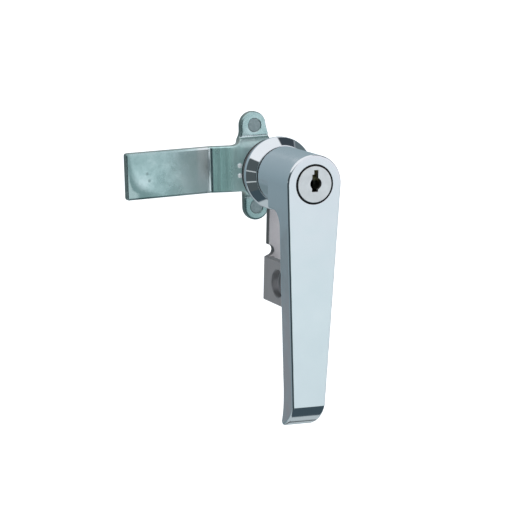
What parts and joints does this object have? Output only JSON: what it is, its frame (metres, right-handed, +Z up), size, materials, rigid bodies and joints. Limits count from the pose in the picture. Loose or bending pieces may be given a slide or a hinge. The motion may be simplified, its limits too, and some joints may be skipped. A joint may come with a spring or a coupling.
{
  "type": "l-handle cabinet lock",
  "caption": "Keyed L-handle lock for a sheet-metal cabinet door: turning lever, round base with barrel and nut, stamped latch arm with rod pins, padlock hasp.",
  "frame": {"origin": "on the spindle axis, at the outer face of the door (rear face of the gasket)", "axes": "+Z up with the lever hanging down along -Z, +Y through the door into the cabinet, +X right as seen from the front; the latch arm points to -X"},
  "size_m": [0.0822, 0.0756, 0.1382],
  "materials": {
    "chrome": "polished chrome plate",
    "satin_nickel": "satin nickel, fine turned grain",
    "brass": "machined, slightly dull",
    "blue_zinc": "blue-green zinc plate, mottled",
    "grey_steel": "matt grey coating",
    "zinc_hardware": "clear zinc plate",
    "spring_steel": "dark phosphated spring steel",
    "bright_steel": "ground steel",
    "black_rubber": "matt black",
    "black_acetal": "smooth black"
  },
  "bodies": {
    "base": {"base_housing": "chrome", "thrust_washer": "black_acetal", "hasp_plate": "grey_steel", "door_gasket": "black_rubber", "lock_washer": "zinc_hardware", "ring_nut": "zinc_hardware"},
    "handle": {"handle": "chrome", "cylinder_sleeve": "bright_steel", "sleeve_set_screw": "spring_steel", "face_seal_ring": "black_rubber", "shaft_o_ring": "black_rubber", "stop_washer": "zinc_hardware", "shaft_circlip": "spring_steel", "latch_arm": "blue_zinc", "rod_pins": "zinc_hardware", "arm_screw": "zinc_hardware", "arm_washer": "zinc_hardware", "arm_spring_washer": "zinc_hardware", "padlock_ear": "grey_steel", "ear_screws": "zinc_hardware"},
    "plug": {"plug_cap": "satin_nickel", "plug_core": "brass", "plug_clip": "spring_steel", "drive_disc": "bright_steel", "wafer_springs": "bright_steel"},
    "wafers": {"wafers": "brass"},
    "bolt": {"lock_bolt": "bright_steel"}
  },
  "joints": [
    {"name": "handle_turn", "type": "hinge", "parent": "base", "child": "handle", "pos_m": [0, 0, 0], "axis": [0, -1, 0], "range_deg": [0, 90]},
    {"name": "plug_turn", "type": "hinge", "parent": "handle", "child": "plug", "pos_m": [0, 0, 0], "axis": [0, 1, 0], "range_deg": [0, 90]},
    {"name": "wafer_slide", "type": "slide", "parent": "plug", "child": "wafers", "axis": [0, 0, -1], "range_m": [0, 0.0008], "deforming": ["wafer_springs"]},
    {"name": "bolt_slide", "type": "slide", "parent": "handle", "child": "bolt", "axis": [0, 0, -1], "range_m": [0, 0.0025]}
  ],
  "couplings": [
    {"joint": "bolt_slide", "follows": "plug_turn", "m_per_rad": 0.0015915}
  ]
}
